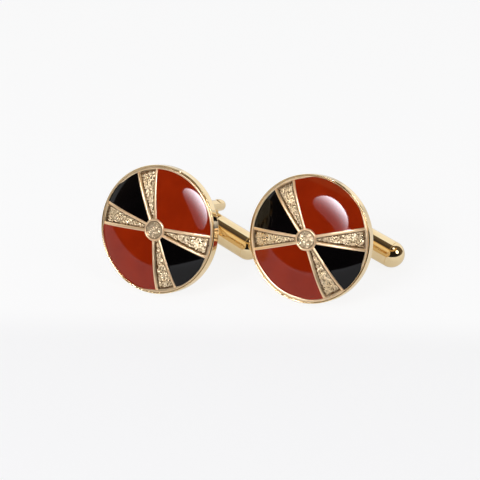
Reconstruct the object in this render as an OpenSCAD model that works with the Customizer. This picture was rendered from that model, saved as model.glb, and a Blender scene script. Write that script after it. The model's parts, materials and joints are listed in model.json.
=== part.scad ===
// A pair of round enamelled cufflinks with swivel bars, lying as on a table.
// Each cufflink is modelled in its own frame: the rim plane of its face is z = 0,
// +Z points out of the face, +X runs along the bar and +Y along the hinge pin.
// seat() then lays it on the table, where the rim, the lower fork arm and one
// end of the bar touch the surface.

/* [Face] */
// Diameter of the face across the cup
face_d = 19; // [15:0.25:24]
// Width of the cup's bright rim, and of its side wall
rim_w = 0.24; // [0.2:0.02:0.4]
// Depth of the cup from its rim to its flat back
cup_depth = 1.7; // [1.6:0.05:2.2]
// Thickness of the cup's back
cup_back_t = 0.45; // [0.35:0.05:0.6]
// Rounding between the cup's side and its back
cup_round = 0.4; // [0.25:0.05:0.5]
// Rise of the domed face above the rim plane
dome_h = 0.65; // [0.4:0.05:1]
// Width of the plate's own edge ring
edge_ring_w = 0.36; // [0.24:0.02:0.44]
// Rise of the edge ring above the rim plane
edge_ring_h = 0.08; // [0.02:0.02:0.16]
// Width of the dark groove between the edge ring and the cup
groove_w = 0.1; // [0.08:0.02:0.2]

/* [Ornament] */
// Half of the angle between the two arms beside a black field
arm_spread = 32.7; // [26:0.1:38]
// Width of an arm over its walls, at the boss
arm_inner_w = 1.26; // [0.9:0.02:1.6]
// Width of an arm over its walls, at the edge ring
arm_outer_w = 3.4; // [2.4:0.05:4]
// Thickness of the raised wall along an arm
wall_t = 0.3; // [0.2:0.02:0.4]
// Rise of the walls above the enamel
wall_proud = 0.05; // [0.02:0.01:0.1]
// Depth of the granular arm floor below the enamel
arm_floor_drop = 0.3; // [0.15:0.05:0.4]
// Outer diameter of the boss ring
boss_d = 3.3; // [2.6:0.1:4]
// Width of the boss ring
boss_ring_w = 0.34; // [0.2:0.02:0.5]
// Rise of the boss ring above the enamel
boss_proud = 0.2; // [0.1:0.02:0.35]
// Depth of the floor in the boss below the top of its ring
boss_sink = 0.22; // [0.1:0.02:0.35]
// Least thickness of the enamel, at the edge of the face
enamel_t = 0.55; // [0.4:0.05:0.7]
// Thickness of the bed of solder under the plate
bond_t = 0.08; // [0.05:0.01:0.12]
// Turn of the left ornament from the bar to the black fields
left_ornament_angle = 159.7; // [100:0.1:200]
// Turn of the right ornament from the bar to the black fields
right_ornament_angle = 175.2; // [100:0.1:200]

/* [Closure] */
// Depth of the hinge pin behind the rim plane
pivot_depth = 16.5; // [15:0.1:20]
// Diameter of the swivel bar
bar_d = 4.08; // [3.6:0.04:4.4]
// Length of the swivel bar over its domed ends
bar_l = 19.2; // [16:0.2:20]
// Wall of the bar's tube
tube_wall = 0.5; // [0.4:0.05:0.6]
// Bevel at each end of the tube, which shows as a fine seam beside the cap
tube_bevel = 0.08; // [0.04:0.01:0.12]
// Length of a cap's plug inside the tube
cap_plug_l = 1.4; // [1:0.1:2]
// Diameter of the round rod that the fork is made of
fork_rod_d = 1.8; // [1.6:0.05:2]
// Gap between the bar and an arm of the fork
cheek_gap = 0.08; // [0.05:0.01:0.12]
// How far the centre of an arm's ball end lies past the pin
arm_past_pin = 0.93; // [0.5:0.01:1.1]
// Diameter of the stem between the foot and the fork
stem_d = 2.2; // [2:0.1:2.6]
// Diameter of the foot
foot_d = 5.4; // [4.6:0.1:6.5]
// Thickness of the foot that stands out of the cup's back
foot_t = 0.7; // [0.5:0.05:0.9]
// Depth of the seat for the foot in the cup's back
foot_seat = 0.12; // [0.08:0.02:0.2]
// Gap between the foot and the side of its seat
foot_fit = 0.03; // [0.02:0.01:0.05]
// Flare of the stem where it meets the foot
stem_flare = 0.5; // [0.3:0.05:0.7]
// Diameter of the hinge pin
pin_d = 1.2; // [1:0.05:1.3]
// Gap between the pin and the holes in the tube
pin_gap = 0.04; // [0.02:0.01:0.06]
// Size across the flats at the middle of the pin
pin_flats = 0.98; // [0.8:0.02:1]
// Thickness of a leaf spring
leaf_t = 0.22; // [0.15:0.01:0.3]
// Width of a leaf spring
leaf_w = 1.5; // [1.2:0.05:1.7]
// Length of a leaf spring
leaf_l = 9; // [7:0.25:11]

/* [Layout] */
// Heading of the left face, turned to the left of straight ahead
left_heading = 28.6; // [15:0.1:40]
// Heading of the right face, turned to the left of straight ahead
right_heading = 26.2; // [15:0.1:40]
// How far the right face lies to the right of the left one
pair_gap_x = 22.25; // [21.5:0.05:32]
// How far the right face lies in front of the left one
pair_gap_y = 1.94; // [0:0.02:4]

/* [Hidden] */
$fn = 96;
// Facets drawn on small round sections and on the large dome
small_fn = 48;
dome_fn = 360;

// Names for the two cufflinks
LEFT = 0;
RIGHT = 1;

// The face
face_r = face_d / 2;
groove_r = face_r - rim_w;
ring_r = groove_r - groove_w;
enamel_r = ring_r - edge_ring_w;
boss_r = boss_d / 2;
boss_bore_r = boss_r - boss_ring_w;
// The dome is a cap of a large sphere that meets the rim plane at the enamel's edge
dome_r = (enamel_r * enamel_r + dome_h * dome_h) / (2 * dome_h);
dome_z = dome_h - dome_r;
plate_back_z = -cup_depth + cup_back_t + bond_t;
// Tools that cut or trim the face reach this far above and below it
face_reach = cup_depth + dome_h + boss_proud;
// The groove's floor lies as deep as the enamel is thick
groove_drop = enamel_t;

// The ornament, measured in the plane of the face
arm_inner_x = boss_r;
arm_outer_x = enamel_r;
arm_flare = (arm_outer_w - arm_inner_w) / (arm_outer_x - arm_inner_x);

// The closure
bar_r = bar_d / 2;
tube_bore_r = bar_r - tube_wall;
bar_half = bar_l / 2 - bar_r;
rod_r = fork_rod_d / 2;
arm_y = bar_r + cheek_gap + rod_r;
arm_end_z = -pivot_depth - arm_past_pin;
// The bend of the fork clears the end of the bar when the bar points at the face
tip_gap = 0.35;
bend_z = -pivot_depth + bar_half + tip_gap;
foot_z = -cup_depth - foot_t;
// The share of the foot's thickness that its bevel takes
foot_edge_share = 0.35;
foot_edge = foot_t * foot_edge_share;
pin_r = pin_d / 2;
// The pin's ends are peened round and stand this much proud of the arms
pin_proud = 0.08;
// The leaf springs clear the corners of the pin by this much
leaf_gap = 0.05;
leaf_y = pin_r + leaf_gap;
// The ends of a leaf spring bow out to the bore of the tube over this length
leaf_foot_l = 1.2;
leaf_bow = sqrt(tube_bore_r * tube_bore_r - leaf_w * leaf_w / 4) - leaf_y - leaf_t;

// How one cufflink lies: the rim, the lower arm's end and one end of the bar
// touch the table. Heights are those of each piece's lowest point, below the
// centre of the rim plane, for a face tilted back by tilt. The tilt is looked
// for between two angles, and the roll's sine is kept under a steepest share.
tilt_low = 2;
tilt_high = 45;
tilt_steps = 40;
steepest_share = 0.9;
function rim_low(tilt) =
    (face_r - cup_round) * cos(tilt) + (cup_depth - cup_round) * sin(tilt) + cup_round;
function roll_for(tilt) =
    asin(max(-steepest_share, min(steepest_share,
        (pivot_depth * sin(tilt) + bar_r - rim_low(tilt)) / (bar_half * cos(tilt)))));
function arm_low(tilt) =
    arm_y * cos(roll_for(tilt)) * cos(tilt) + (pivot_depth + arm_past_pin) * sin(tilt) + rod_r;
// Halving the interval finds the tilt at which all three touch
function find_tilt(low, high, steps) =
    let (middle = (low + high) / 2)
    steps == 0 ? middle
    : arm_low(middle) < rim_low(middle) ? find_tilt(middle, high, steps - 1)
    : find_tilt(low, middle, steps - 1);
tilt = find_tilt(tilt_low, tilt_high, tilt_steps);
roll = roll_for(tilt);
rim_height = rim_low(tilt);

function heading(side) = side == LEFT ? left_heading : right_heading;
function ornament_turn(side) = side == LEFT ? left_ornament_angle : right_ornament_angle;

// Directions of a cufflink's own axes in the frame of the pair
function ahead(side) = [-sin(heading(side)), -cos(heading(side)), 0];
function across(side) = [cos(heading(side)), -sin(heading(side)), 0];
function uphill(side) = -sin(tilt) * ahead(side) + [0, 0, cos(tilt)];
function normal_dir(side) = cos(tilt) * ahead(side) + [0, 0, sin(tilt)];
function bar_dir(side) = cos(roll) * across(side) + sin(roll) * uphill(side);
function pin_dir(side) = -sin(roll) * across(side) + cos(roll) * uphill(side);

// How far a cufflink reaches from its face's centre in a direction
function rim_reach(side, dir) =
    let (n = normal_dir(side) * dir)
    max(face_r * sqrt(1 - n * n),
        (face_r - cup_round) * sqrt(1 - n * n) - (cup_depth - cup_round) * n + cup_round);
function bar_reach(side, dir) =
    -pivot_depth * (normal_dir(side) * dir) + bar_half * abs(bar_dir(side) * dir) + bar_r;
function arm_reach(side, dir) =
    arm_end_z * (normal_dir(side) * dir) + arm_y * abs(pin_dir(side) * dir) + rod_r;
function reach(side, dir) =
    max(rim_reach(side, dir), bar_reach(side, dir), arm_reach(side, dir));

// The pair is centred over the origin in X and in Y
gap = [pair_gap_x, -pair_gap_y];
function low_end(dir, step) = min(-reach(LEFT, -dir), step - reach(RIGHT, -dir));
function high_end(dir, step) = max(reach(LEFT, dir), step + reach(RIGHT, dir));
function centre_of(dir, step) = (low_end(dir, step) + high_end(dir, step)) / 2;
left_x = -centre_of([1, 0, 0], gap[0]);
left_y = -centre_of([0, 1, 0], gap[1]);
function face_centre(side) =
    [left_x, left_y, rim_height] + (side == LEFT ? [0, 0, 0] : [gap[0], gap[1], 0]);

module seat(side) {
    translate(face_centre(side))
        rotate([0, 0, -heading(side)])
            rotate([90 - tilt, 0, 0])
                rotate([0, 0, roll])
                    children();
}

// A solid under the domed surface, raised by rise above the enamel
module dome(rise) {
    translate([0, 0, dome_z])
        sphere(r = dome_r + rise, $fn = dome_fn);
}

// The four arms, as angles from the axis of the black fields
arm_angles = [arm_spread, -arm_spread, 180 + arm_spread, 180 - arm_spread];

// One arm seen from the front, with its sides set in by inset
module arm_shape(inset) {
    flat = arm_inner_w / 2 - arm_flare / 2 * arm_inner_x - inset;
    out_x = face_r;
    polygon([
        [0, -flat], [out_x, -flat - arm_flare / 2 * out_x],
        [out_x, flat + arm_flare / 2 * out_x], [0, flat]]);
}

module arms_shape(inset) {
    for (angle = arm_angles)
        rotate(angle)
            arm_shape(inset);
}

// The wedge between two angles, wide enough to hold a field of the face
module wedge_shape(from, to) {
    middle = (from + to) / 2;
    far = face_d;
    polygon([
        [0, 0], far * [cos(from), sin(from)],
        far * [cos(middle), sin(middle)], far * [cos(to), sin(to)]]);
}

// The four enamel fields: what the boss and the arms leave of the round face
module all_fields_shape() {
    difference() {
        circle(r = enamel_r);
        circle(r = boss_r);
        arms_shape(0);
    }
}

// The one enamel field that lies between two angles
module field_shape(from, to) {
    intersection() {
        all_fields_shape();
        wedge_shape(from, to);
    }
}

module upright(shape_depth) {
    translate([0, 0, -shape_depth])
        linear_extrude(height = shape_depth + face_reach)
            children();
}

module enamel(side, from, to) {
    rotate(ornament_turn(side))
        intersection() {
            upright(enamel_t)
                field_shape(from, to);
            dome(0);
        }
}

module cup(side) {
    color("gold")
        seat(side)
            difference() {
                union() {
                    translate([0, 0, -cup_depth + cup_round])
                        cylinder(r = face_r, h = cup_depth - cup_round - rim_w / 2);
                    translate([0, 0, -cup_depth])
                        cylinder(r = face_r - cup_round, h = cup_round);
                    translate([0, 0, -cup_depth + cup_round])
                        rotate_extrude()
                            translate([face_r - cup_round, 0])
                                circle(r = cup_round, $fn = small_fn);
                    translate([0, 0, -rim_w / 2])
                        rotate_extrude()
                            translate([face_r - rim_w / 2, 0])
                                circle(d = rim_w, $fn = small_fn);
                }
                translate([0, 0, -cup_depth + cup_back_t])
                    cylinder(r = groove_r, h = face_reach);
                translate([0, 0, -cup_depth - foot_seat])
                    cylinder(d = foot_d + 2 * foot_fit, h = 2 * foot_seat);
            }
}

module face_plate(side) {
    color("palegoldenrod")
        seat(side)
            rotate(ornament_turn(side))
                difference() {
                    plate_blank();
                    upright(enamel_t)
                        all_fields_shape();
                    arm_floors();
                    boss_floor();
                }
}

// The struck plate before its fields and floors are sunk into it
module plate_blank() {
    intersection() {
        translate([0, 0, plate_back_z])
            cylinder(r = enamel_r + edge_ring_w / 2, h = face_reach);
        dome(wall_proud);
    }
    intersection() {
        translate([0, 0, plate_back_z])
            cylinder(r = boss_r, h = face_reach);
        dome(boss_proud);
    }
    translate([0, 0, plate_back_z])
        cylinder(r = groove_r, h = -plate_back_z - groove_drop);
    edge_ring();
}

// What is cut out over the sunk floors of the arms
module arm_floors() {
    difference() {
        upright(enamel_t)
            difference() {
                intersection() {
                    circle(r = enamel_r);
                    arms_shape(wall_t);
                }
                circle(r = boss_r);
            }
        dome(-arm_floor_drop);
    }
}

// What is cut out over the sunk floor of the boss
module boss_floor() {
    difference() {
        cylinder(r = boss_bore_r, h = face_reach);
        dome(boss_proud - boss_sink);
    }
}

// The thin ring round the enamel, with a rounded top
module edge_ring() {
    translate([0, 0, -groove_drop])
        difference() {
            cylinder(r = ring_r, h = groove_drop + edge_ring_h - edge_ring_w / 2);
            cylinder(r = enamel_r, h = groove_drop + edge_ring_h);
        }
    translate([0, 0, edge_ring_h - edge_ring_w / 2])
        rotate_extrude()
            translate([enamel_r + edge_ring_w / 2, 0])
                circle(d = edge_ring_w, $fn = small_fn);
}

module red_enamel_upper(side) {
    color("firebrick")
        seat(side)
            enamel(side, arm_spread - 180, -arm_spread);
}

module red_enamel_lower(side) {
    color("firebrick")
        seat(side)
            enamel(side, arm_spread, 180 - arm_spread);
}

module black_enamel_upper(side) {
    color("black")
        seat(side)
            enamel(side, -arm_spread, arm_spread);
}

module black_enamel_lower(side) {
    color("black")
        seat(side)
            enamel(side, 180 - arm_spread, 180 + arm_spread);
}

module bond(side) {
    color("silver")
        seat(side)
            translate([0, 0, plate_back_z - bond_t])
                cylinder(r = groove_r - groove_w, h = bond_t);
}

module foot(side) {
    color("gold")
        seat(side)
            translate([0, 0, foot_z]) {
                translate([0, 0, foot_edge])
                    cylinder(d = foot_d, h = foot_t - foot_edge + foot_seat);
                cylinder(d1 = foot_d - 2 * foot_edge, d2 = foot_d, h = foot_edge);
            }
}

module fork(side) {
    color("gold")
        seat(side)
            difference() {
                union() {
                    translate([0, 0, bend_z + arm_y])
                        cylinder(d = stem_d, h = foot_z - bend_z - arm_y);
                    translate([0, 0, foot_z - stem_flare])
                        cylinder(d1 = stem_d, d2 = stem_d + 2 * stem_flare, h = stem_flare);
                    translate([0, 0, bend_z])
                        rotate([90, 0, 90])
                            rotate_extrude(angle = 180)
                                translate([arm_y, 0])
                                    circle(r = rod_r, $fn = small_fn);
                    for (y = [-arm_y, arm_y])
                        translate([0, y, arm_end_z]) {
                            cylinder(r = rod_r, h = bend_z - arm_end_z);
                            sphere(r = rod_r);
                        }
                }
                translate([0, arm_y + 2 * rod_r, -pivot_depth])
                    rotate([90, 0, 0])
                        cylinder(r = pin_r, h = 2 * (arm_y + 2 * rod_r));
            }
}

module hinge_pin(side) {
    pin_end = arm_y + rod_r + pin_proud;
    color("gold")
        seat(side)
            translate([0, 0, -pivot_depth])
                difference() {
                    intersection() {
                        translate([0, pin_end, 0])
                            rotate([90, 0, 0])
                                cylinder(r = pin_r, h = 2 * pin_end);
                        pin_ends();
                    }
                    for (k = [0:3])
                        rotate([0, 90 * k, 0])
                            translate([pin_flats / 2, -leaf_w / 2 - leaf_gap, -pin_d])
                                cube([pin_d, leaf_w + 2 * leaf_gap, 2 * pin_d]);
                }
}

// Rounds the ends of the pin to the curve of the arms
module pin_ends() {
    for (y = [-arm_y, arm_y])
        translate([0, y, -pin_d])
            cylinder(r = rod_r + pin_proud, h = 2 * pin_d);
    translate([-pin_d, -arm_y, -pin_d])
        cube([2 * pin_d, 2 * arm_y, 2 * pin_d]);
}

module toggle_tube(side) {
    color("goldenrod")
        seat(side)
            translate([0, 0, -pivot_depth])
                difference() {
                    union() {
                        translate([-bar_half + tube_bevel, 0, 0])
                            rotate([0, 90, 0])
                                cylinder(r = bar_r, h = 2 * (bar_half - tube_bevel));
                        for (turn = [0, 180])
                            rotate([0, 0, turn])
                                translate([bar_half - tube_bevel, 0, 0])
                                    rotate([0, 90, 0])
                                        cylinder(r1 = bar_r, r2 = bar_r - tube_bevel, h = tube_bevel);
                    }
                    translate([-bar_half - tube_wall, 0, 0])
                        rotate([0, 90, 0])
                            cylinder(r = tube_bore_r, h = 2 * (bar_half + tube_wall));
                    translate([0, bar_d, 0])
                        rotate([90, 0, 0])
                            cylinder(r = pin_r + pin_gap, h = 2 * bar_d);
                }
}

// A domed end of the bar with its plug, pointing along +X
module toggle_cap() {
    intersection() {
        sphere(r = bar_r);
        translate([0, -bar_r, -bar_r])
            cube([bar_r, bar_d, bar_d]);
    }
    translate([-cap_plug_l, 0, 0])
        rotate([0, 90, 0])
            cylinder(r = tube_bore_r, h = cap_plug_l);
}

module toggle_cap_outer(side) {
    color("goldenrod")
        seat(side)
            translate([bar_half, 0, -pivot_depth])
                toggle_cap();
}

module toggle_cap_inner(side) {
    color("goldenrod")
        seat(side)
            translate([-bar_half, 0, -pivot_depth])
                mirror([1, 0, 0])
                    toggle_cap();
}

module detent_springs(side) {
    color("gray")
        seat(side)
            translate([0, 0, -pivot_depth])
                for (turn = [0, 180])
                    rotate([turn, 0, 0])
                        leaf_spring();
}

// One leaf: a flat strip beside the pin whose ends bow out to the bore
module leaf_spring() {
    flat_half = leaf_l / 2 - leaf_foot_l;
    rotate([90, 0, 0])
        translate([0, 0, -leaf_w / 2])
            linear_extrude(height = leaf_w)
                polygon([
                    [-leaf_l / 2, leaf_y + leaf_bow], [-flat_half, leaf_y],
                    [flat_half, leaf_y], [leaf_l / 2, leaf_y + leaf_bow],
                    [leaf_l / 2, leaf_y + leaf_bow + leaf_t], [flat_half, leaf_y + leaf_t],
                    [-flat_half, leaf_y + leaf_t], [-leaf_l / 2, leaf_y + leaf_bow + leaf_t]]);
}

cup(LEFT);  // left_cup
face_plate(LEFT);  // left_face_plate
red_enamel_upper(LEFT);  // left_red_enamel_upper
red_enamel_lower(LEFT);  // left_red_enamel_lower
black_enamel_upper(LEFT);  // left_black_enamel_upper
black_enamel_lower(LEFT);  // left_black_enamel_lower
bond(LEFT);  // left_bond
foot(LEFT);  // left_foot
fork(LEFT);  // left_fork
hinge_pin(LEFT);  // left_hinge_pin
toggle_tube(LEFT);  // left_toggle_tube
toggle_cap_inner(LEFT);  // left_toggle_cap_inner
toggle_cap_outer(LEFT);  // left_toggle_cap_outer
detent_springs(LEFT);  // left_detent_springs
cup(RIGHT);  // right_cup
face_plate(RIGHT);  // right_face_plate
red_enamel_upper(RIGHT);  // right_red_enamel_upper
red_enamel_lower(RIGHT);  // right_red_enamel_lower
black_enamel_upper(RIGHT);  // right_black_enamel_upper
black_enamel_lower(RIGHT);  // right_black_enamel_lower
bond(RIGHT);  // right_bond
foot(RIGHT);  // right_foot
fork(RIGHT);  // right_fork
hinge_pin(RIGHT);  // right_hinge_pin
toggle_tube(RIGHT);  // right_toggle_tube
toggle_cap_inner(RIGHT);  // right_toggle_cap_inner
toggle_cap_outer(RIGHT);  // right_toggle_cap_outer
detent_springs(RIGHT);  // right_detent_springs
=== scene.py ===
# %% [markdown]
# A pair of enamelled cufflinks
#
# Two round cufflinks lie on a white table. Each has a struck gold plate with four
# flared arms, two red and two black enamel fields, a turned gold cup behind them,
# and a fork with a swivel bar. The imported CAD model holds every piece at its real
# place. This lesson adds what the CAD leaves out: the grain of the sunk floors,
# the soft edges of the struck walls, the pull of the enamel up its walls, and the
# finish of every surface.

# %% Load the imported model
import json
import math

import bmesh
import bpy
import numpy as np
from mathutils import Matrix, Vector

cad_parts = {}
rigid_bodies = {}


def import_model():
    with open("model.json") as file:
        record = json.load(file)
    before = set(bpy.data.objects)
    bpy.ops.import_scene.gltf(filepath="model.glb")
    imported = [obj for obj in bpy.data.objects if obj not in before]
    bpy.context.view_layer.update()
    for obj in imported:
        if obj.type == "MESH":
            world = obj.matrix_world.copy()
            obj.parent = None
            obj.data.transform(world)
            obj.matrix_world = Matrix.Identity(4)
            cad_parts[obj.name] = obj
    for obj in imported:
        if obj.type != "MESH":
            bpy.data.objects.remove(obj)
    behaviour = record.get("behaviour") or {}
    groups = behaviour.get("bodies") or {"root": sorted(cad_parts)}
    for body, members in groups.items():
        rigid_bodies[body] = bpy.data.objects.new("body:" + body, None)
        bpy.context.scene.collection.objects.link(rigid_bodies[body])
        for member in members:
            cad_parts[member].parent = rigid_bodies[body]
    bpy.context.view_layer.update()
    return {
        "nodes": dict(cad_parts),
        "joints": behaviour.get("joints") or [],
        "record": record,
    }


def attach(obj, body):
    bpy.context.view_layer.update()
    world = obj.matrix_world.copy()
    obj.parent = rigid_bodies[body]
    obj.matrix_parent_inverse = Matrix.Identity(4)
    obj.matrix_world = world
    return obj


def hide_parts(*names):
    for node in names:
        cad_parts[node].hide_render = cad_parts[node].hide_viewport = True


for spare in list(bpy.data.objects):
    bpy.data.objects.remove(spare)
bpy.context.scene.view_settings.view_transform = "Standard"
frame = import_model()

# %% [markdown]
# Sizes
#
# All sizes are in millimetres, and one value, mm, turns them into Blender's metres.
# The face's numbers are those of the CAD source, because the pieces below have to fit
# its walls and rings. Only the domes have their own: dome_slopes holds two slope terms
# for each face, fitted to the line at which its enamel mirrors the horizon.

# %% Name the sizes
mm = 0.001
face_r = 9.5
rim_w = 0.24
groove_w = 0.1
edge_ring_w = 0.36
cup_depth = 1.7
cup_back_t = 0.45
bond_t = 0.08
dome_slopes = {"left": (-0.02, 0.36), "right": (0.02, 0.43)}
arm_spread = math.radians(32.7)
arm_inner_w = 1.26
arm_outer_w = 3.4
wall_t = 0.3
wall_proud = 0.05
arm_floor_drop = 0.3
boss_r = 1.65
boss_ring_w = 0.34
boss_proud = 0.2
boss_sink = 0.22
enamel_t = 0.55
pivot_depth = 16.5
ornament_turn = {"left": math.radians(159.7), "right": math.radians(175.2)}
groove_r = face_r - rim_w
ring_r = groove_r - groove_w
enamel_r = ring_r - edge_ring_w
arm_flare = (arm_outer_w - arm_inner_w) / (enamel_r - boss_r)
plate_back_z = -cup_depth + cup_back_t + bond_t
print("enamel reaches", round(enamel_r, 2), "mm from the middle")

# %% [markdown]
# The frame of one cufflink
#
# A maker turns a cufflink in the fingers; the computer needs a frame instead. It
# could be typed as angles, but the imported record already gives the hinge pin's axis
# and the back face's normal, so the frame is read from there: X runs along the bar,
# Y along the pin and Z out of the face, from the middle of the rim plane.

# %% Read each cufflink's frame
def cufflink_frame(side):
    joint = next(j for j in frame["joints"] if j["name"] == side + "_toggle_swing")
    mount = next(m for m in frame["record"]["mounts"] if m["name"] == side + "_cuff_face")
    pin = Vector(joint["axis"]).normalized()
    normal = -Vector(mount["axis"]).normalized()
    bar = pin.cross(normal)
    centre = Vector(joint["pos_m"]) + pivot_depth * mm * normal
    axes = Matrix((bar, pin, normal)).transposed()
    return Matrix.Translation(centre) @ axes.to_4x4()


SIDES = ("left", "right")
frames = {side: cufflink_frame(side) for side in SIDES}
for side in SIDES:
    print(side, "face centre in mm:", [round(v / mm, 2) for v in frames[side].translation])

# %% [markdown]
# The camera
#
# The photograph was taken from in front and above with a long lens. The view was
# fitted to the outlines of both faces and bars, and comes out as a turn, a fall, a
# small roll and a distance from a point on the table. The lens follows from the
# scale: how many pixels of the 480 pixel frame one millimetre takes there.

# %% Place the camera
view_turn = math.radians(-0.16)
view_fall = math.radians(27.0)
view_roll = math.radians(1.42)
view_distance = 297.3
view_target = Vector((-2.185, 9.341, 0))
view_scale = 6.4
frame_pixels = 480
sensor_w = 36


def view_axes():
    forward = Vector((0, math.cos(view_fall), -math.sin(view_fall)))
    level_up = Vector((0, math.sin(view_fall), math.cos(view_fall)))
    level_right = Vector((1, 0, 0))
    right = math.cos(view_roll) * level_right + math.sin(view_roll) * level_up
    up = math.cos(view_roll) * level_up - math.sin(view_roll) * level_right
    turn = Matrix.Rotation(view_turn, 3, "Z")
    return turn @ right, turn @ up, turn @ forward


right, up, forward = view_axes()
camera_data = bpy.data.cameras.new("photo_camera")
camera_data.sensor_width = sensor_w
camera_data.lens = sensor_w * view_scale * view_distance / frame_pixels
camera_data.clip_start = 0.02
camera_data.clip_end = 20
camera = bpy.data.objects.new("photo_camera", camera_data)
bpy.context.scene.collection.objects.link(camera)
camera_place = (view_target - view_distance * forward) * mm
camera_axes = Matrix((right, up, -forward)).transposed().to_4x4()
camera.matrix_world = Matrix.Translation(camera_place) @ camera_axes
bpy.context.scene.camera = camera
print("lens", round(camera_data.lens, 1), "mm")

# %% [markdown]
# Wiring helpers
#
# A shader tree is a set of boxes joined by wires. Small helpers keep the cells short:
# they add a node with its plain settings, do sums, mix two colours, turn a value into
# a soft step, and build a node group with named sockets, so that an effect is made
# once and used by many materials. Sums and mixes take wires and plain values alike.

# %% Helpers for shader trees
def add_node(tree, kind, **values):
    node = tree.nodes.new(kind)
    for name, value in values.items():
        if name in node.inputs:
            node.inputs[name].default_value = value
        else:
            setattr(node, name, value)
    return node


def feed(tree, source, socket):
    """Joins a wire to a socket, or sets the socket to a plain value."""
    if isinstance(source, bpy.types.NodeSocket):
        tree.links.new(source, socket)
    else:
        socket.default_value = source


def sum_node(tree, operation, *operands):
    """A wire with the result of one operation on wires or plain numbers."""
    node = add_node(tree, "ShaderNodeMath", operation=operation)
    for operand, socket in zip(operands, node.inputs):
        feed(tree, operand, socket)
    return node.outputs[0]


def mix_colours(tree, share, first, second):
    """A wire that is the first colour where the share is 0 and the second where it is 1."""
    node = add_node(tree, "ShaderNodeMix", data_type="RGBA")
    feed(tree, share, node.inputs["Factor"])
    feed(tree, first, node.inputs[6])
    feed(tree, second, node.inputs[7])
    return node.outputs[2]


def share_between(tree, value, low, high):
    """A wire that goes smoothly from 0 to 1 while the value goes from low to high."""
    ramp = add_node(tree, "ShaderNodeMapRange", interpolation_type="SMOOTHSTEP")
    ramp.inputs["From Min"].default_value = low
    ramp.inputs["From Max"].default_value = high
    tree.links.new(value, ramp.inputs["Value"])
    return ramp.outputs["Result"]


def new_group(name, inputs, outputs):
    group = bpy.data.node_groups.new(name, "ShaderNodeTree")
    for title, kind, value in inputs:
        socket = group.interface.new_socket(title, in_out="INPUT", socket_type=kind)
        socket.default_value = value
    for title, kind in outputs:
        group.interface.new_socket(title, in_out="OUTPUT", socket_type=kind)
    return group, group.nodes.new("NodeGroupInput"), group.nodes.new("NodeGroupOutput")


def place_group(tree, group, **values):
    node = tree.nodes.new("ShaderNodeGroup")
    node.node_tree = group
    for name, value in values.items():
        node.inputs[name].default_value = value
    return node


def object_point(tree):
    return tree.nodes.new("ShaderNodeTexCoord").outputs["Object"]


print("shader helpers are ready")

# %% [markdown]
# Cloudy tone
#
# Neither plating nor enamel has one even colour. Plating is a little redder where it
# lies thin, and enamel is a little deeper where it pooled. A slow noise that mixes
# two near colours gives both.

# %% Build the cloudy tone
FLOAT = "NodeSocketFloat"
COLOUR = "NodeSocketColor"
VECTOR = "NodeSocketVector"
cloud_low = 0.35
cloud_high = 0.65


def cloudy_tone_group():
    group, sockets_in, sockets_out = new_group(
        "cloudy_tone",
        [("Point", VECTOR, (0, 0, 0)), ("Scale", FLOAT, 200),
         ("Light", COLOUR, (1, 1, 1, 1)), ("Deep", COLOUR, (0, 0, 0, 1))],
        [("Colour", COLOUR)])
    links = group.links
    noise = add_node(group, "ShaderNodeTexNoise", Detail=3, Roughness=0.55)
    links.new(sockets_in.outputs["Point"], noise.inputs["Vector"])
    links.new(sockets_in.outputs["Scale"], noise.inputs["Scale"])
    clouds = share_between(group, noise.outputs["Fac"], cloud_low, cloud_high)
    colour = mix_colours(group, clouds, sockets_in.outputs["Light"], sockets_in.outputs["Deep"])
    links.new(colour, sockets_out.inputs["Colour"])
    return group


cloudy_tone = cloudy_tone_group()
print("group", cloudy_tone.name, "is ready")

# %% [markdown]
# Polishing marks
#
# A buffed surface keeps faint hairlines and a slow waviness that bends what it
# mirrors. The hairlines are two noises, each stretched long in its own direction and
# multiplied; the waviness is a slow noise below them. Roughness follows the hairlines.

# %% Build the polishing marks
hairline_squeezes = ((1, 0.05, 0.3), (0.08, 1, 0.6))


def polish_marks_group():
    group, sockets_in, sockets_out = new_group(
        "polish_marks",
        [("Point", VECTOR, (0, 0, 0)), ("Hairline Scale", FLOAT, 900),
         ("Wave Scale", FLOAT, 260), ("Hairlines", FLOAT, 0.1), ("Waves", FLOAT, 0.5)],
        [("Height", FLOAT), ("Marks", FLOAT)])
    links = group.links
    marks = []
    for squeeze in hairline_squeezes:
        mapping = add_node(group, "ShaderNodeMapping", Scale=squeeze)
        links.new(sockets_in.outputs["Point"], mapping.inputs["Vector"])
        lines = add_node(group, "ShaderNodeTexNoise", Detail=2)
        links.new(mapping.outputs["Vector"], lines.inputs["Vector"])
        links.new(sockets_in.outputs["Hairline Scale"], lines.inputs["Scale"])
        marks.append(lines.outputs["Fac"])
    both = sum_node(group, "MULTIPLY", marks[0], marks[1])
    wave = add_node(group, "ShaderNodeTexNoise", Detail=1)
    links.new(sockets_in.outputs["Point"], wave.inputs["Vector"])
    links.new(sockets_in.outputs["Wave Scale"], wave.inputs["Scale"])
    hair_height = sum_node(group, "MULTIPLY", both, sockets_in.outputs["Hairlines"])
    height = sum_node(group, "MULTIPLY_ADD", wave.outputs["Fac"], sockets_in.outputs["Waves"], hair_height)
    links.new(height, sockets_out.inputs["Height"])
    links.new(both, sockets_out.inputs["Marks"])
    return group


polish_marks = polish_marks_group()
print("group", polish_marks.name, "is ready")

# %% [markdown]
# The six finishes
#
# Every finish is one Principled shader fed by the two groups. They differ in tone, in
# how rough they are, and in how strongly the marks raise the surface, so one function
# builds them all from a short list of values. The struck plate has two more colours.
# Its hollows are darkened with painted shade, and the buffing wheel reaches only its tops.
# A value called shade, stored with the mesh, tells where: towards 1 the metal takes
# the painted shade colour, and towards -1 the buffed colour and the buffed roughness.

# %% Build the finishes
buffed_rough = 0.32
mark_depth = 0.05
fewest_marks = 0.1
most_marks = 0.5


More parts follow.
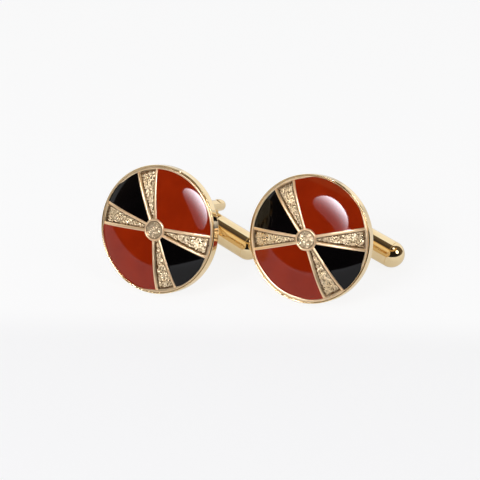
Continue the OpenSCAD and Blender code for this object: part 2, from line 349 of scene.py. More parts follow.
def finish(name, light, deep, metallic, smooth, rough, tone_scale, bump, hairlines=0.1, waves=0.5,
           recess_shade=None, buffed=None, ior=1.5):
    """A material. Its roughness goes from smooth to rough as the hairlines grow denser."""
    material = bpy.data.materials.new(name)
    material.use_nodes = True
    tree = material.node_tree
    shader = tree.nodes["Principled BSDF"]
    shader.inputs["Metallic"].default_value = metallic
    shader.inputs["IOR"].default_value = ior
    point = object_point(tree)
    tone = place_group(tree, cloudy_tone, Scale=tone_scale, Light=(*light, 1), Deep=(*deep, 1))
    tree.links.new(point, tone.inputs["Point"])
    colour = tone.outputs["Colour"]
    # Painted shade darkens the colour where the mesh's shade is above 0; below 0 it is buffed.
    if recess_shade:
        shade = add_node(tree, "ShaderNodeAttribute", attribute_name="shade").outputs["Fac"]
        ridge = sum_node(tree, "MULTIPLY", shade, -1)
        darkened = mix_colours(tree, shade, colour, (*recess_shade, 1))
        colour = mix_colours(tree, ridge, darkened, (*buffed, 1))
    tree.links.new(colour, shader.inputs["Base Color"])
    marks = place_group(tree, polish_marks, Hairlines=hairlines, Waves=waves)
    tree.links.new(point, marks.inputs["Point"])
    dull = add_node(tree, "ShaderNodeMapRange")
    dull.inputs["From Min"].default_value = fewest_marks
    dull.inputs["From Max"].default_value = most_marks
    dull.inputs["To Min"].default_value = smooth
    dull.inputs["To Max"].default_value = rough
    tree.links.new(marks.outputs["Marks"], dull.inputs["Value"])
    roughness = dull.outputs["Result"]
    if recess_shade:
        smoother = add_node(tree, "ShaderNodeMix", data_type="FLOAT")
        smoother.inputs[3].default_value = buffed_rough
        tree.links.new(ridge, smoother.inputs["Factor"])
        tree.links.new(roughness, smoother.inputs[2])
        roughness = smoother.outputs[0]
    tree.links.new(roughness, shader.inputs["Roughness"])
    relief = add_node(tree, "ShaderNodeBump", Strength=bump, Distance=mark_depth * mm)
    tree.links.new(marks.outputs["Height"], relief.inputs["Height"])
    tree.links.new(relief.outputs["Normal"], shader.inputs["Normal"])
    return material


glassy = {"metallic": 0.0, "smooth": 0.03, "rough": 0.06, "bump": 0.05, "hairlines": 0.05, "waves": 0.8}
finishes = {
    "polished_gold": finish("polished_gold", (0.93, 0.75, 0.46), (0.88, 0.68, 0.39), metallic=1.0,
                            smooth=0.05, rough=0.12, tone_scale=300, bump=0.12),
    # The struck gold's recess colour is the painted shade of its hollows.
    "struck_gold": finish("struck_gold", (1.0, 0.82, 0.54), (0.95, 0.74, 0.45), metallic=1.0,
                          smooth=0.26, rough=0.33, tone_scale=900, bump=0.3,
                          recess_shade=(0.13, 0.06, 0.02), buffed=(0.97, 0.70, 0.43)),
    "red_enamel": finish("red_enamel", (0.250, 0.0165, 0.0016), (0.212, 0.0130, 0.0012),
                         tone_scale=160, ior=1.4, **glassy),
    "black_enamel": finish("black_enamel", (0.0020, 0.0014, 0.0016), (0.0012, 0.0009, 0.0010),
                           tone_scale=260, ior=1.36, **glassy),
    "solder": finish("solder", (0.55, 0.55, 0.56), (0.45, 0.45, 0.46), metallic=1.0,
                     smooth=0.35, rough=0.5, tone_scale=900, bump=0.4),
    "spring_steel": finish("spring_steel", (0.48, 0.48, 0.50), (0.42, 0.42, 0.44), metallic=1.0,
                           smooth=0.25, rough=0.4, tone_scale=700, bump=0.3)}
print("finishes:", ", ".join(finishes))

# %% [markdown]
# Finish the CAD pieces
#
# The cups, forks, feet, pins, tubes and caps already have their true shape, so they
# keep their own meshes and only get the finish of their material slot.

# %% Dress the CAD pieces
slot_of = {entry["node"]: entry["material_slot"] for entry in frame["record"]["subparts"]}
for node_name, node_object in frame["nodes"].items():
    node_object.data.materials.clear()
    node_object.data.materials.append(finishes[slot_of[node_name]])
print("dressed", len(frame["nodes"]), "CAD pieces")

# %% [markdown]
# Mesh helpers
#
# The struck plate and the enamel are made as grids of points whose heights follow a
# formula. A grid turns into a closed slab by hanging a skirt from its edge and
# closing the bottom with one flat face.

# %% Helpers for grid meshes
def grid_faces(rows, columns):
    """The squares of a grid, as four point numbers each."""
    r, c = np.meshgrid(np.arange(rows - 1), np.arange(columns - 1), indexing="ij")
    first = (r * columns + c).ravel()
    return np.stack([first, first + columns, first + columns + 1, first + 1], 1)


def border_loop(rows, columns):
    """The point numbers once round the edge of a grid."""
    top = list(range(columns))
    far = [r * columns + columns - 1 for r in range(1, rows)]
    bottom = [(rows - 1) * columns + c for c in range(columns - 2, -1, -1)]
    near = [r * columns for r in range(rows - 2, 0, -1)]
    return top + far + bottom + near


def slab(points, floor_z, shade=None):
    """A closed slab under a grid of points, down to one flat floor, and its shades."""
    rows, columns, _ = points.shape
    verts = points.reshape(-1, 3)
    loop = border_loop(rows, columns)
    hem = verts[loop].copy()
    hem[:, 2] = floor_z
    start = len(verts)
    count = len(loop)
    faces = [tuple(f) for f in grid_faces(rows, columns).tolist()]
    for k in range(count):
        after = (k + 1) % count
        faces.append((loop[k], loop[after], start + after, start + k))
    faces.append(tuple(range(start, start + count)))
    if shade is None:
        shade = np.zeros((rows, columns))
    # The skirt takes the shade 1, the painted shade of a hollow.
    return np.vstack([verts, hem]), faces, np.concatenate([shade.ravel(), np.ones(count)])


def revolve(profile, segments):
    """A closed ring: a closed outline of (radius, height) points turned about Z."""
    outline = np.array(profile, float)
    count = len(outline)
    angles = np.linspace(0, 2 * math.pi, segments, endpoint=False)
    rings = [np.stack([outline[:, 0] * math.cos(a), outline[:, 0] * math.sin(a), outline[:, 1]], 1)
             for a in angles]
    faces = []
    for s in range(segments):
        for k in range(count):
            a = s * count + k
            b = s * count + (k + 1) % count
            turn = ((s + 1) % segments - s) * count
            faces.append((a, a + turn, b + turn, b))
    verts = np.vstack(rings)
    return verts, faces, np.zeros(len(verts))


def arc(centre_r, centre_z, radius, start, stop, steps):
    """Outline points (radius, height) along a round from one angle to another, in degrees."""
    angles = np.radians(np.linspace(start, stop, steps))
    return [(centre_r + radius * math.cos(a), centre_z + radius * math.sin(a)) for a in angles]


def join_shells(shells):
    """Several shells in one list of points, faces and shades."""
    verts = []
    faces = []
    shades = []
    offset = 0
    for shell_verts, shell_faces, shell_shade in shells:
        verts.append(shell_verts)
        faces += [tuple(i + offset for i in face) for face in shell_faces]
        shades.append(shell_shade)
        offset += len(shell_verts)
    return np.vstack(verts), faces, np.concatenate(shades)


print("a grid of 3 by 4 points has", len(grid_faces(3, 4)), "faces")

# %% [markdown]
# From numbers to a piece
#
# A finished piece is a mesh in the cufflink's own frame, smooth where the surface
# runs on and sharp where it turns, with its finish, its body and the CAD node that
# it stands for.

# %% Helper that makes a piece
sharp_turn = math.radians(38)


def turn_outward(mesh):
    """Turns every face outwards and tells how many there are."""
    work = bmesh.new()
    work.from_mesh(mesh)
    bmesh.ops.recalc_face_normals(work, faces=work.faces)
    work.to_mesh(mesh)
    count = len(work.faces)
    work.free()
    return count


def make_piece(name, side, shell, slot, replaced):
    """A piece of the fixed body, made of a shell in millimetres, in place of a CAD node."""
    verts, faces, shade = shell
    mesh = bpy.data.meshes.new(name)
    mesh.from_pydata((verts * mm).tolist(), [], faces)
    mesh.validate()
    mesh.materials.append(finishes[slot])
    piece = bpy.data.objects.new(name, mesh)
    bpy.context.scene.collection.objects.link(piece)
    piece.matrix_world = frames[side]
    face_count = turn_outward(mesh)
    mesh.polygons.foreach_set("use_smooth", [True] * len(mesh.polygons))
    mesh.set_sharp_from_angle(angle=sharp_turn)
    shades = mesh.attributes.new("shade", "FLOAT", "POINT")
    shades.data.foreach_set("value", shade.astype(np.float32))
    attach(piece, "root")
    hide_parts(replaced)
    print(name, "has", face_count, "faces")
    return piece


print("edges that turn by more than", round(math.degrees(sharp_turn)), "degrees stay sharp")

# %% [markdown]
# Grain
#
# The sunk floors of a struck badge are matted with a punch that leaves small round
# beads, packed close and never quite alike. A noise texture could bump them, but
# the beads show their shape in the light, so they are real heights: one jittered
# bead in each cell of a small lattice, and the highest bead wins at each point. The
# place, radius and height of each bead come from a table of chances that repeats only
# after 97 cells, which is more than a face has.

# %% Grain heights
net_cells = 97
bead_margin = 0.15
bead_play = 0.7
bead_least_r = 0.5
bead_more_r = 0.3
bead_least_h = 0.6
bead_more_h = 0.4
wave_count = 6
slowest_wave = 0.6
fastest_wave = 1.4


def beads(x, y, pitch, height, seed):
    """Heights of round grains, one in each cell of a loose net."""
    table = np.random.default_rng(seed).random((net_cells, net_cells, 4))
    result = np.zeros_like(x)
    cell_x = np.floor(x / pitch).astype(int)
    cell_y = np.floor(y / pitch).astype(int)
    for step_x in (-1, 0, 1):
        for step_y in (-1, 0, 1):
            pick = table[(cell_x + step_x) % net_cells, (cell_y + step_y) % net_cells]
            bead_x = (cell_x + step_x + bead_margin + bead_play * pick[..., 0]) * pitch
            bead_y = (cell_y + step_y + bead_margin + bead_play * pick[..., 1]) * pitch
            bead_r = pitch * (bead_least_r + bead_more_r * pick[..., 2])
            bead_h = height * (bead_least_h + bead_more_h * pick[..., 3])
            away = ((x - bead_x) ** 2 + (y - bead_y) ** 2) / bead_r ** 2
            rise = bead_h * np.sqrt(np.clip(1 - away, 0, 1))
            result = np.maximum(result, rise)
    return result


def dome_z(radius, side):
    """Height of the domed face: nearly flat in the middle, steeper towards the rim."""
    share = radius / enamel_r
    first, third = dome_slopes[side]
    return enamel_r * (first * (1 - share ** 2) / 2 + third * (1 - share ** 4) / 4)


def slow_wave(x, y, length, seed):
    """A smooth field between -1 and 1 whose humps are about one length apart."""
    random = np.random.default_rng(seed)
    total = np.zeros_like(x)
    for _ in range(wave_count):
        angle = random.uniform(0, 2 * math.pi)
        pace = 2 * math.pi / length * random.uniform(slowest_wave, fastest_wave)
        phase = random.uniform(0, 2 * math.pi)
        total += np.sin(pace * (x * math.cos(angle) + y * math.sin(angle)) + phase)
    return total / wave_count


print("grain sample:", np.round(beads(np.linspace(0, 1, 5), np.zeros(5), 0.24, 0.08, 1), 3))

# %% [markdown]
# One arm of the plate
#
# An arm is a flared tray: two bright walls that stand a little above the enamel, and
# a sunk granular floor between them. Its grid has columns that follow the walls, so
# their rounded tops stay clean, and finer columns across the floor for the grain. The
# punch can't reach into corners, so the floor slopes down from the walls and from both
# ends. At the foot of these slopes and in the valleys between the grains the shade is
# high: the colour is darkened there as painted shade. The buffed walls have the shade -1.

# %% Build one arm
arm_step = 0.055
under_boss = 0.25
under_ring = 0.1
wall_columns = 9
floor_columns = 30
wall_over = 0.1
wall_lift = 0.02
wall_shoulder = 0.09
wobble_h = 0.02
wobble_length = 0.9
slope_w = 0.22
end_slope_w = 0.36
grain_pitch = 0.23
grain_h = 0.13
grain_shift_x = 3.1
grain_shift_y = 5
grain_middle = 0.5
floor_wave_h = 0.02
floor_wave_length = 0.6
floor_wave_seed = 7
# Where the painted shade at the feet of the slopes lies and how wide it is, in widths of their slope
foot_place = 0.7
foot_w = 0.45
end_foot_place = 0.4
end_foot_w = 0.6
foot_shade = 0.85
valley_shade = 0.95
# The share of the grain's height below which a place belongs to a valley
valley_h = 0.8


def wall_profile(across):
    """Height of a wall's rounded top, 0 at its ridge, for places 0 to 1 across it."""
    return -wall_shoulder * (2 * across - 1) ** 2


def smooth_step(share):
    """A soft step from 0 to 1 for shares from 0 to 1."""
    share = np.clip(share, 0, 1)
    return share * share * (3 - 2 * share)


def arm_columns():
    """Places across half an arm, from the outside in: (share of wall, share of floor)."""
    wall = [(t, 0.0) for t in np.linspace(0, 1, wall_columns)]
    floor = [(1.0, t) for t in np.linspace(0, 1, floor_columns)[1:]]
    return np.array(wall + floor)


def build_arm(angle, side, seed):
    """One arm: its two halves share the middle column, and the second runs back from it."""
    rows = int((enamel_r - boss_r) / arm_step)
    along = np.linspace(boss_r - under_boss, enamel_r + under_ring, rows)
    half_w = wall_over + arm_inner_w / 2 + arm_flare / 2 * (along - boss_r)
    half = arm_columns()
    wall = half[:, 0][None, :]
    floor = half[:, 1][None, :]
    wobble = wobble_h * slow_wave(along, along * 0, wobble_length, seed)[:, None]
    inner = half_w[:, None] - wall_t - wall_over + wobble
    offset = half_w[:, None] - wall * (wall_t + wall_over - wobble)
    offset = np.where(floor > 0, inner * (1 - floor), offset)
    x = np.broadcast_to(along[:, None], offset.shape)
    end_share = (enamel_r - np.hypot(x, offset)) / end_slope_w
    drop = smooth_step((inner - offset) / slope_w)
    drop = drop * smooth_step(end_share) * smooth_step((x - boss_r) / slope_w)
    # Painted shade at the foot of the slopes, by the walls and at both ends
    foot = np.exp(-(((inner - offset) / slope_w - foot_place) / foot_w) ** 2)
    end_foot = np.exp(-((end_share - end_foot_place) / end_foot_w) ** 2)
    foot = np.maximum(foot, end_foot) * (floor > 0)
    sides = []
    shades = []
    for sign in (1, -1):
        y = offset * sign
        radius = np.hypot(x, y)
        bead = beads(x + seed * grain_shift_x, y + grain_shift_y, grain_pitch, grain_h, seed)
        valley = np.clip(1 - bead / (valley_h * grain_h), 0, 1) * drop
        # Painted shade: the feet of the slopes and the valleys between the grains are darkened
        sunk = np.clip(foot_shade * foot + valley_shade * valley, 0, 1)
        shades.append(np.where(floor > 0, sunk, -1.0))
        unevenness = floor_wave_h * slow_wave(x, y, floor_wave_length, seed + floor_wave_seed)
        grain = bead - grain_middle * grain_h + unevenness
        top = wall_proud + wall_lift + wall_profile(wall) * (floor == 0)
        low = -arm_floor_drop + grain
        inner_top = wall_proud + wall_lift + wall_profile(1.0)
        z = dome_z(radius, side) + np.where(floor > 0, inner_top + (low - inner_top) * drop, top)
        sides.append(np.stack([x, y, z], 2))
    grid = np.concatenate([sides[0], sides[1][:, -2::-1]], 1)
    shade = np.concatenate([shades[0], shades[1][:, -2::-1]], 1)
    spin = angle + ornament_turn[side]
    turned = grid.copy()
    turned[..., 0] = grid[..., 0] * math.cos(spin) - grid[..., 1] * math.sin(spin)
    turned[..., 1] = grid[..., 0] * math.sin(spin) + grid[..., 1] * math.cos(spin)
    return slab(turned, -enamel_t, shade)


print("an arm has", 2 * len(arm_columns()) - 1, "columns")

# %% [markdown]
# The boss
#
# The boss is a raised ring round a dished floor that the punch has roughened. Its
# outline is a little uneven, as struck metal is. The floor falls away from the ring in
# a curve. Its colour is darkened with painted shade, most at the foot of the ring and
# between its grains. Its rows are circles, from the outer wall over the top of the ring to the middle of
# the dish.

# %% Build the boss
boss_spokes = 144
boss_ring_rows = 13
boss_dish_rows = 22
boss_dish_end = 0.03
boss_lobes = 8
boss_lobe_h = 0.012
boss_bead_pitch = 0.26
boss_bead_h = 0.06
boss_shift_x = 9
boss_shift_y = 4
boss_wave_h = 0.05
boss_wave_length = 0.9
boss_valley_h = 0.04
# How far outside the dish the wheel begins to reach the ring
boss_buffed_from = 0.03
boss_foot_w = 0.13
# Painted shade of the dish's whole floor, of the ring's foot and of the valleys between grains
boss_floor_shade = 0.36
boss_foot_shade = 0.5
boss_valley_shade = 0.3


def build_boss(side, seed):
    ring_mid = boss_r - boss_ring_w / 2
    dish_start = boss_r - boss_ring_w
    top_z = dome_z(boss_r, side) + boss_proud
    angles = np.linspace(0, 2 * math.pi, boss_spokes, endpoint=False)
    wall = [(boss_r, -enamel_t), (boss_r, top_z - boss_ring_w / 2)]
    ring = arc(ring_mid, top_z - boss_ring_w / 2, boss_ring_w / 2, 0, 180, boss_ring_rows)[1:]
    dish = [(r, None) for r in np.linspace(dish_start, boss_dish_end, boss_dish_rows)]
    rows = wall + ring + dish
    grid = []
    shades = []
    for r, z in rows:
        lobes = 1 + boss_lobe_h * np.cos(boss_lobes * angles + seed)
        x = r * lobes * np.cos(angles)
        y = r * lobes * np.sin(angles)
        if z is None:
            sunk = top_z - boss_sink
            edge = np.clip((dish_start - r) / boss_foot_w, 0, 1)
            height = sunk + (boss_sink - boss_ring_w / 2) * (1 - edge) ** 2
            bead = beads(x + boss_shift_x, y + boss_shift_y, boss_bead_pitch, boss_bead_h, seed)
            unevenness = edge * boss_wave_h * slow_wave(x, y, boss_wave_length, seed)
            height = height + edge * (bead - boss_bead_h / 2) + unevenness
            # Painted shade over the dish: a floor level, more at the foot of the ring and in the valleys
            foot = math.exp(-((dish_start - r) / boss_foot_w) ** 2)
            valley = edge * np.clip(1 - bead / boss_valley_h, 0, 1)
            shade = boss_floor_shade + boss_foot_shade * foot + boss_valley_shade * valley
            shades.append(np.clip(shade, 0, 1))
        else:
            height = np.full_like(x, z)
            buffed = r > dish_start + boss_buffed_from
            # The ring's inner foot takes the painted shade as well
            shade = -1.0 if buffed else boss_floor_shade + boss_foot_shade
            shades.append(np.full(boss_spokes, shade))
        grid.append(np.stack([x, y, height], 1))
    verts = np.vstack(grid)
    faces = []
    for k in range(len(rows) - 1):
        here = k * boss_spokes
        below = here + boss_spokes
        for s in range(boss_spokes):
            after = (s + 1) % boss_spokes
            faces.append((here + s, here + after, below + after, below + s))
    last = (len(rows) - 1) * boss_spokes
    faces.append(tuple(range(last, last + boss_spokes)))
    faces.append(tuple(range(boss_spokes)))
    return verts, faces, np.concatenate(shades)


print("the dish starts", round(boss_r - boss_ring_w, 2), "mm from the middle")

# %% [markdown]
# The edge ring and the base
#
# The edge ring frames the enamel. In the photograph it is wider in some places than in
# others, which is taken as hand filing, and its top leans a little in and out. Each
# lobe in the list has the middle and half the width of a place, in degrees from the
# middle of the upper black field, and by how much the inner edge lies further out
# there. The base disc, which ties the arms, the boss and the ring together, lies hidden
# under the enamel.

# %% Build the edge ring and the base
ring_top = 0.06
ring_round = 0.15
ring_round_rows = 6
ring_segments = 288
ring_gap = 0.02
ring_polish = 0.5
ring_base_r = 8.86
ring_lobes = {
    "left": ((12, 16, 0.24), (85, 52, 0.28), (178, 20, 0.12)),
    "right": ((88, 34, -0.18), (172, 18, 0.26), (268, 42, 0.3))}
lobe_soft_share = 0.4
ring_tilt = 0.15
ring_tilt_length = 6.0
ring_tilt_seed = {"left": 7, "right": 8}
tilt_above = -0.1
base_hole_r = 0.05
base_segments = 144


def ring_inner(angles, side):
    """Inner edge of the ring, in millimetres from the middle."""
    edge = np.full_like(angles, ring_base_r)
    for centre, half_width, growth in ring_lobes[side]:
        away = np.abs((np.degrees(angles) - centre + 180) % 360 - 180)
        edge += growth * smooth_step((half_width - away) / (lobe_soft_share * half_width))
    return edge


def build_edge_ring(side):
    outer = groove_r - ring_gap
    round_z = ring_top - ring_round
    profile = arc(outer - ring_round, round_z, ring_round, 0, 90, ring_round_rows)
    profile += arc(ring_base_r + ring_round, round_z, ring_round, 90, 180, ring_round_rows)
    profile += [(ring_base_r, -enamel_t), (outer, -enamel_t)]
    verts, faces, shade = revolve(profile, ring_segments)
    radius = np.hypot(verts[:, 0], verts[:, 1])
    angles = np.arctan2(verts[:, 1], verts[:, 0])
    share = (outer - radius) / (outer - ring_base_r)
    new_radius = outer - share * (outer - ring_inner(angles - ornament_turn[side], side))
    tilt = ring_tilt * slow_wave(verts[:, 0], verts[:, 1], ring_tilt_length, ring_tilt_seed[side])
    verts[:, 2] += tilt * (new_radius - (outer + ring_base_r) / 2) * (verts[:, 2] > tilt_above)
    verts[:, :2] *= (new_radius / radius)[:, None]
    return verts, faces, shade - ring_polish


def build_base():
    profile = [(groove_r, -enamel_t), (base_hole_r, -enamel_t),
               (base_hole_r, plate_back_z), (groove_r, plate_back_z)]
    return revolve(profile, base_segments)


print("the edge ring is", round(groove_r - ring_gap - ring_base_r, 2), "mm wide between its lobes")

# %% [markdown]
# The struck plate
#
# The four arms, the boss, the edge ring and the base are one piece of metal on the
# real badge, so they are joined into one mesh that stands for the CAD plate.

# %% Make both plates
arm_angles = (arm_spread, -arm_spread, math.pi + arm_spread, math.pi - arm_spread)
first_arm_seed = {"left": 11, "right": 28}
boss_seed = {"left": 5, "right": 6}
for side in SIDES:
    shells = [build_arm(angle, side, first_arm_seed[side] + k)
              for k, angle in enumerate(arm_angles)]
    shells.append(build_boss(side, boss_seed[side]))
    shells.append(build_edge_ring(side))
    shells.append(build_base())
    make_piece(side + "_struck_plate", side, join_shells(shells), "struck_gold", side + "_face_plate")

# %% [markdown]
# The enamel
#
# Each field was filled with soft glass and fired, so its surface follows the dome,
# pulls up a little where it wets the gold, and is never quite even. A flat disc
# would mirror the light in one blink; the dome draws the reflections into curves.
# The grid runs from the boss outwards and from arm to arm.

# %% Make the enamel fields
field_rows = 72
field_columns = 110
meniscus_h = 0.012
meniscus_w = 0.1
swell = 0.004
swell_length = 4.0
first_field_seed = {"left": 31, "right": 41}


def arm_edge_angle(radius):
    """Angle from an arm's middle line to its edge, at a distance from the middle."""
    slope = arm_flare / 2
    flat = arm_inner_w / 2 - slope * boss_r
    root = np.sqrt(flat ** 2 * slope ** 2 - (1 + slope ** 2) * (flat ** 2 - radius ** 2))
    along = (-flat * slope + root) / (1 + slope ** 2)
    return np.arctan2(flat + slope * along, along)


def even_ends(count):
    """Places from 0 to 1 that crowd towards both ends."""
    t = np.linspace(0, 1, count)
    return 0.5 * t + 0.5 * (0.5 - 0.5 * np.cos(math.pi * t))


def build_field(start, stop, side, seed):
    """The enamel between two arms, whose middle lines lie at the angles start and stop."""
    radius = (boss_r + (ring_r - boss_r) * even_ends(field_rows))[:, None]
    low = start + arm_edge_angle(radius)
    high = stop - arm_edge_angle(radius)
    angle = low + (high - low) * even_ends(field_columns)[None, :]
    x = radius * np.cos(angle + ornament_turn[side])
    y = radius * np.sin(angle + ornament_turn[side])
    arm_away = np.minimum((angle - low) * radius, (high - angle) * radius)
    wall_away = np.minimum(radius - boss_r, arm_away)
    rise = meniscus_h * np.exp(-(wall_away / meniscus_w) ** 2)
    z = dome_z(radius, side) + rise + swell * slow_wave(x, y, swell_length, seed)
    return slab(np.stack([x, y, z], 2), -enamel_t)


half_turn = math.pi
fields = {
    "red_enamel_upper": (arm_spread - half_turn, -arm_spread, "red_enamel"),
    "red_enamel_lower": (arm_spread, half_turn - arm_spread, "red_enamel"),
    "black_enamel_upper": (-arm_spread, arm_spread, "black_enamel"),
    "black_enamel_lower": (half_turn - arm_spread, half_turn + arm_spread, "black_enamel")}
for side in SIDES:
    for k, (field, (start, stop, slot)) in enumerate(fields.items()):
        shell = build_field(start, stop, side, first_field_seed[side] + k)
        make_piece(side + "_fired_" + field, side, shell, slot, side + "_" + field)

# %% [markdown]
# The table
#
# The ground is plain white card, and it takes a soft shadow. It glows by itself only
# for the camera, for mirrors and for glasses, so that it looks nearly white, as the
# background of the photograph does. The glow is weaker in mirrors than it is for the
# camera, and it drops towards the front, to half in mirrors and by less for the camera:
# a painted shade on the near ground, to match what the gold in the photograph mirrors of it.

# %% Make the table and the white surround
def seen_directly(tree):
    """1 for what the camera, a mirror or a glass sees, and 0 for light falling on things."""
    rays = tree.nodes.new("ShaderNodeLightPath")
    first = sum_node(tree, "MAXIMUM", rays.outputs["Is Camera Ray"], rays.outputs["Is Glossy Ray"])
    return sum_node(tree, "MAXIMUM", first, rays.outputs["Is Transmission Ray"])


# Painted shade on the near table: where the glow begins and ends dropping, and the share left
dim_start = -0.013
dim_end = -0.024
dim_share = 0.5
card_rough = 0.9


def table_material(card_tone, mirror_glow, camera_glow):
    """White card whose glow takes the given share of what a mirror or the camera sees."""
    material = bpy.data.materials.new("white_card")
    material.use_nodes = True
    tree = material.node_tree
    shader = tree.nodes["Principled BSDF"]
    shader.inputs["Base Color"].default_value = (card_tone, card_tone, card_tone, 1)
    shader.inputs["Roughness"].default_value = card_rough
    shader.inputs["Specular IOR Level"].default_value = 0
    glow = add_node(tree, "ShaderNodeEmission", Strength=1.0)
    place = add_node(tree, "ShaderNodeSeparateXYZ")
    tree.links.new(object_point(tree), place.inputs["Vector"])
    # Painted shade: the glow falls towards the front of the table.
    dimming = add_node(tree, "ShaderNodeMapRange", interpolation_type="SMOOTHSTEP")
    dimming.inputs["From Min"].default_value = dim_start
    dimming.inputs["From Max"].default_value = dim_end
    dimming.inputs["To Min"].default_value = mirror_glow
    dimming.inputs["To Max"].default_value = mirror_glow * dim_share
    tree.links.new(place.outputs["Y"], dimming.inputs["Value"])
    mirror_share = sum_node(tree, "MULTIPLY", seen_directly(tree), dimming.outputs["Result"])
    is_camera = tree.nodes.new("ShaderNodeLightPath").outputs["Is Camera Ray"]
    share = sum_node(tree, "MULTIPLY_ADD", is_camera, camera_glow - mirror_glow, mirror_share)
    mix = add_node(tree, "ShaderNodeMixShader")
    tree.links.new(share, mix.inputs["Fac"])
    tree.links.new(shader.outputs["BSDF"], mix.inputs[1])
    tree.links.new(glow.outputs["Emission"], mix.inputs[2])
    tree.links.new(mix.outputs["Shader"], tree.nodes["Material Output"].inputs["Surface"])
    return material


table_half = 4.0
table_corners = [(-table_half, -table_half, 0), (table_half, -table_half, 0),
                 (table_half, table_half, 0), (-table_half, table_half, 0)]
table_mesh = bpy.data.meshes.new("table")
table_mesh.from_pydata(table_corners, [], [(0, 1, 2, 3)])
table_mesh.materials.append(table_material(card_tone=0.85, mirror_glow=0.4, camera_glow=0.85))
table = bpy.data.objects.new("table", table_mesh)
bpy.context.scene.collection.objects.link(table)

world = bpy.data.worlds.new("white_room")
bpy.context.scene.world = world
world.use_nodes = True
world_tree = world.node_tree
sky = world_tree.nodes["Background"]
sky_level = 0.5
level = add_node(world_tree, "ShaderNodeMapRange")
level.inputs["To Min"].default_value = sky_level
level.inputs["To Max"].default_value = 1.0
world_tree.links.new(seen_directly(world_tree), level.inputs["Value"])
world_tree.links.new(level.outputs["Result"], sky.inputs["Strength"])
sky.inputs["Color"].default_value = (1, 1, 1, 1)
print("table and surround are white")

# %% [markdown]
# The dark room
#
# Polished metal shows its surroundings. In the photograph white paper rises behind
# the cufflinks almost to overhead, and the room in front of it is dark, which gives
# the gold its brown bands. A large dark canopy stands for that room, with a warm
# strip high up in front. Only mirrors need it, so only mirror rays see it. The paper is
# the gap that the canopy leaves at the back, through which the white surround shows.

# %% Hang the dark canopy
canopy_r = 0.6
paper_top = math.radians(72)
paper_left = math.radians(92)
paper_right = math.radians(57)
paper_fade = math.radians(6)
horizon = math.radians(0.3)
canopy_step = 5
canopy_levels = 24


def canopy_shell():
    """The dome of the canopy, whose lower edge rises over the paper at the back."""
    turns = np.radians(np.arange(0, 360, canopy_step))
    verts = []
    for a in turns:
        from_back = (a - math.pi / 2 + math.pi) % (2 * math.pi) - math.pi
        half = paper_left if from_back > 0 else paper_right
        share = np.clip((half - abs(from_back)) / paper_fade, 0, 1)
        start = horizon + (paper_top - horizon) * share
        for e in np.linspace(start, math.pi / 2, canopy_levels):
            verts.append((math.cos(a) * math.cos(e), math.sin(a) * math.cos(e), math.sin(e)))
    faces = []
    for k in range(len(turns)):
        here = k * canopy_levels
        after = (k + 1) % len(turns) * canopy_levels
        for e in range(canopy_levels - 1):
            faces.append((here + e, after + e, after + e + 1, here + e + 1))
    return np.array(verts) * canopy_r, faces


def mirrors_only(thing):
    """Hides a thing from everything but mirrors."""
    thing.visible_camera = False
    thing.visible_diffuse = False
    thing.visible_shadow = False
    thing.visible_transmission = False
    thing.visible_volume_scatter = False


room_front = (0.015, 0.014, 0.013, 1)
room_back = (0.13, 0.10, 0.07, 1)
room_fade = (-0.6 * canopy_r, 0.3 * canopy_r)
warm_strip = (0.60, 0.38, 0.15, 1)
strip_bottom = (0.74 * canopy_r, 0.78 * canopy_r)
strip_top = (0.90 * canopy_r, 0.86 * canopy_r)
strip_back = (0.05 * canopy_r, -0.1 * canopy_r)


def cloth_material():
    """Dark cloth, browner towards the back, with the warm strip in front."""
    cloth = bpy.data.materials.new("dark_cloth")
    cloth.use_nodes = True
    tree = cloth.node_tree
    tree.nodes.remove(tree.nodes["Principled BSDF"])
    place = add_node(tree, "ShaderNodeSeparateXYZ")
    tree.links.new(object_point(tree), place.inputs["Vector"])
    depth = place.outputs["Y"]
    height = place.outputs["Z"]
    towards_back = share_between(tree, depth, *room_fade)
    dark = mix_colours(tree, towards_back, room_front, room_back)
    above = share_between(tree, height, *strip_bottom)
    below = share_between(tree, height, *strip_top)
    in_front = share_between(tree, depth, *strip_back)
    strip = sum_node(tree, "MULTIPLY", above, below)
    front_strip = sum_node(tree, "MULTIPLY", strip, in_front)
    glow = add_node(tree, "ShaderNodeEmission")
    tree.links.new(mix_colours(tree, front_strip, dark, warm_strip), glow.inputs["Color"])
    tree.links.new(glow.outputs["Emission"], tree.nodes["Material Output"].inputs["Surface"])
    return cloth


canopy_verts, canopy_faces = canopy_shell()
canopy_mesh = bpy.data.meshes.new("dark_canopy")
canopy_mesh.from_pydata(canopy_verts.tolist(), [], canopy_faces)
canopy_mesh.materials.append(cloth_material())
canopy = bpy.data.objects.new("dark_canopy", canopy_mesh)
bpy.context.scene.collection.objects.link(canopy)
mirrors_only(canopy)
print("canopy has", len(canopy_faces), "faces")

# %% [markdown]
# The soft boxes
#
# The strong soft box to the left of the camera draws the white patch on the upper
# right of each face. Its glow fades towards one side, as a real box's does. The two
# weak ones to the right, one low and one high, give the sparks on the right bar's end
# and thin lights on the struck walls. Each box is a round card.

# %% Light the soft boxes
box_distance = 0.5
box_sides = 24
glow_power = 2.8


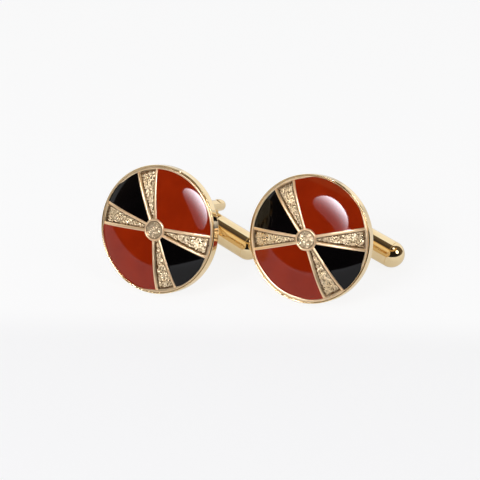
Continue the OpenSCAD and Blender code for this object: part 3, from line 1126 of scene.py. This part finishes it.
def soft_box(name, turn, rise, half_angle, strength, fade, bright_side, colour):
    """A round card. turn is counted from the camera's side to the right, rise above the
    table; bright_side is the angle on the card towards which its glow grows, and fade is
    the share of its strength that is left at the other side."""
    level = math.cos(rise)
    along = Vector((math.sin(turn) * level, -math.cos(turn) * level, math.sin(rise)))
    across = Vector((math.cos(turn), math.sin(turn), 0))
    upward = across.cross(-along)
    if upward.z < 0:
        upward = -upward
    reach = box_distance * math.tan(half_angle)
    mesh = bpy.data.meshes.new(name)
    corners = []
    glows = []
    for k in range(box_sides):
        angle = 2 * math.pi * k / box_sides
        outward = across * math.cos(angle) + upward * math.sin(angle)
        corners.append(along * box_distance + reach * outward)
        glows.append((0.5 + 0.5 * math.cos(angle - bright_side), 0))
    mesh.from_pydata([tuple(c) for c in corners], [], [tuple(range(box_sides))])
    uv = mesh.uv_layers.new(name="glow")
    for loop in mesh.loops:
        uv.data[loop.index].uv = glows[loop.vertex_index]
    material = bpy.data.materials.new(name + "_glow")
    material.use_nodes = True
    tree = material.node_tree
    tree.nodes.remove(tree.nodes["Principled BSDF"])
    glow = add_node(tree, "ShaderNodeEmission", Color=colour)
    split = add_node(tree, "ShaderNodeSeparateXYZ")
    coordinates = tree.nodes.new("ShaderNodeTexCoord")
    tree.links.new(coordinates.outputs["UV"], split.inputs["Vector"])
    falling = sum_node(tree, "POWER", split.outputs["X"], glow_power)
    ramp = add_node(tree, "ShaderNodeMapRange")
    ramp.inputs["To Min"].default_value = strength * fade
    ramp.inputs["To Max"].default_value = strength
    tree.links.new(falling, ramp.inputs["Value"])
    tree.links.new(ramp.outputs["Result"], glow.inputs["Strength"])
    tree.links.new(glow.outputs["Emission"], tree.nodes["Material Output"].inputs["Surface"])
    mesh.materials.append(material)
    box = bpy.data.objects.new(name, mesh)
    bpy.context.scene.collection.objects.link(box)
    box.visible_camera = False
    return box


cool_white = (0.94, 0.95, 1.05, 1)
plain_white = (1.0, 0.97, 0.95, 1)
soft_box("left_soft_box", turn=math.radians(-35.5), rise=math.radians(27), half_angle=math.radians(11.5),
         strength=52, fade=0.02, bright_side=math.radians(66), colour=cool_white)
soft_box("right_soft_box", turn=math.radians(60), rise=math.radians(33), half_angle=math.radians(13),
         strength=3, fade=1.0, bright_side=0, colour=plain_white)
soft_box("high_soft_box", turn=math.radians(54), rise=math.radians(70), half_angle=math.radians(8),
         strength=2.5, fade=1.0, bright_side=0, colour=plain_white)
print("three soft boxes hang", box_distance, "m from the middle of the table")
